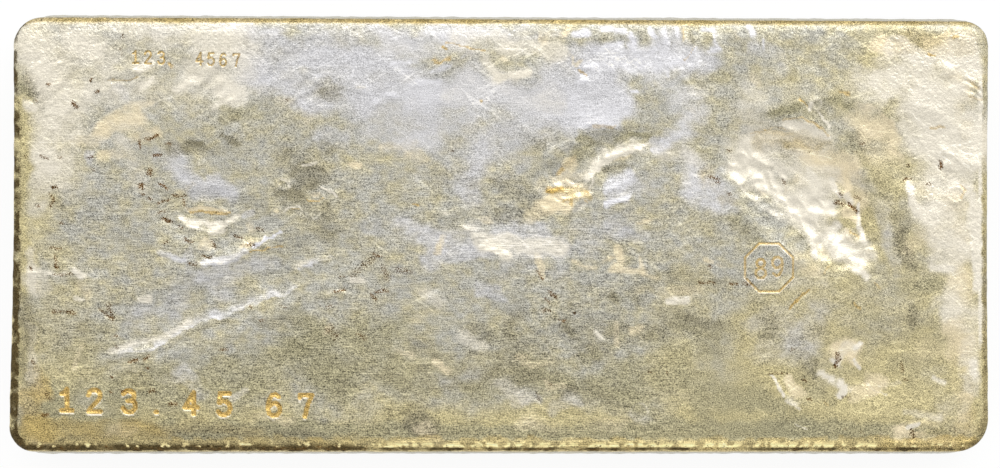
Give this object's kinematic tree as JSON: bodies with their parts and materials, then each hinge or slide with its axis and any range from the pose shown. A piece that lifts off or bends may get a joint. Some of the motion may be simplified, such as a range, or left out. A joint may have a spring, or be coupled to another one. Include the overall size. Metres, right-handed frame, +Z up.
{
  "type": "silver bar",
  "caption": "Cast silver bar with drafted walls, rounded corners and rims, a face with sunken patches and a broad shallow sink underneath.",
  "frame": {"origin": "on the floor, under the middle of the bar as it lies on the free face of its pour", "axes": "+X along the bar, +Y across it, +Z up, out of the face that was cast against the mould's floor"},
  "size_m": [0.1807, 0.082, 0.0216],
  "materials": {
    "fine_silver": "cast and tarnished, rubbed bright on the high places"
  },
  "bodies": {
    "root": {"silver_bar": "fine_silver"}
  },
  "joints": []
}
